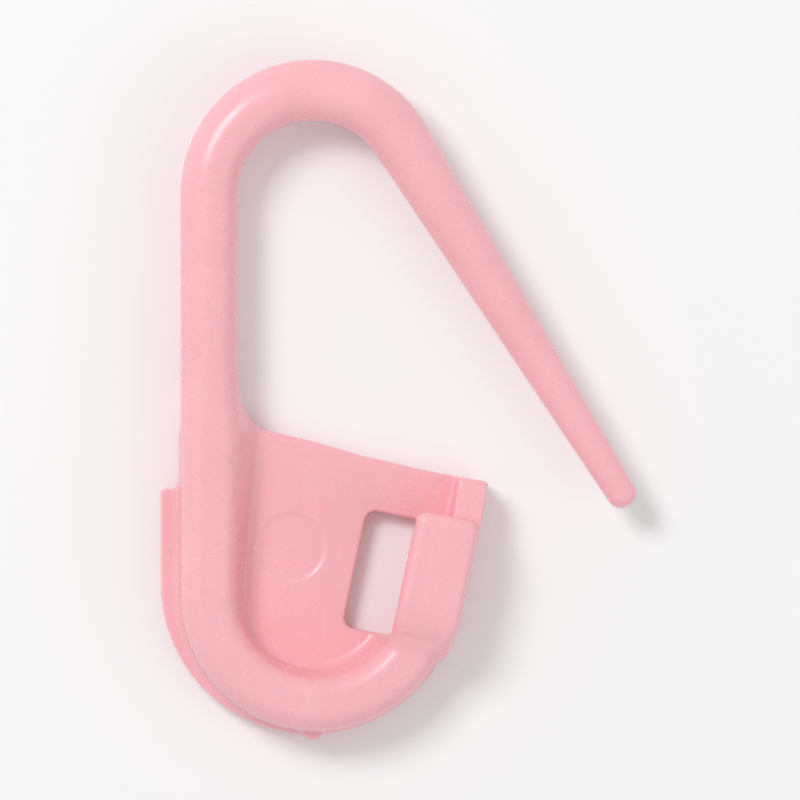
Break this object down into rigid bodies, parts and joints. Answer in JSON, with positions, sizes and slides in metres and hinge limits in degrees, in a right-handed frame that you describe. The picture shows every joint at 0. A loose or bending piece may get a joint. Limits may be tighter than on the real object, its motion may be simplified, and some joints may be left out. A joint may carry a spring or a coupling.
{
  "type": "stitch marker",
  "caption": "Locking knitting stitch marker: a D-shaped head with a lipped catch and window, a leg, a round bend and a tapered pin that springs open.",
  "frame": {"origin": "centre of the head's round end, on the flat back face that the marker lies on", "axes": "+Y up the leg from the head to the bend, +X from the leg towards the open pin, +Z out of the front face with the catch lip"},
  "size_m": [0.0155, 0.0222, 0.0031],
  "materials": {
    "moulded_plastic": "soft gloss, slightly translucent pink moulding"
  },
  "bodies": {
    "head": {"back_plate": "moulded_plastic", "front_rim": "moulded_plastic", "catch_wall": "moulded_plastic", "catch_lip": "moulded_plastic", "leg": "moulded_plastic", "bend_leg_side": "moulded_plastic", "bend_crown": "moulded_plastic"},
    "shoulder": {"bend_shoulder": "moulded_plastic"},
    "pin": {"bend_pin_side": "moulded_plastic", "pin": "moulded_plastic"}
  },
  "joints": [
    {"name": "pin_drop", "type": "hinge", "parent": "head", "child": "shoulder", "pos_m": [0.00193, 0.01603, 0.0016], "axis": [0.5299, -0.848, 0], "range_deg": [0, 28], "stiffness_Nm_per_rad": 0.06, "deforming": ["bend_crown"]},
    {"name": "pin_swing", "type": "hinge", "parent": "shoulder", "child": "pin", "pos_m": [0.00193, 0.01603, 0.0016], "axis": [-0.3981, -0.2488, -0.8829], "range_deg": [-5, 33], "stiffness_Nm_per_rad": 0.06, "deforming": ["bend_pin_side"]}
  ]
}
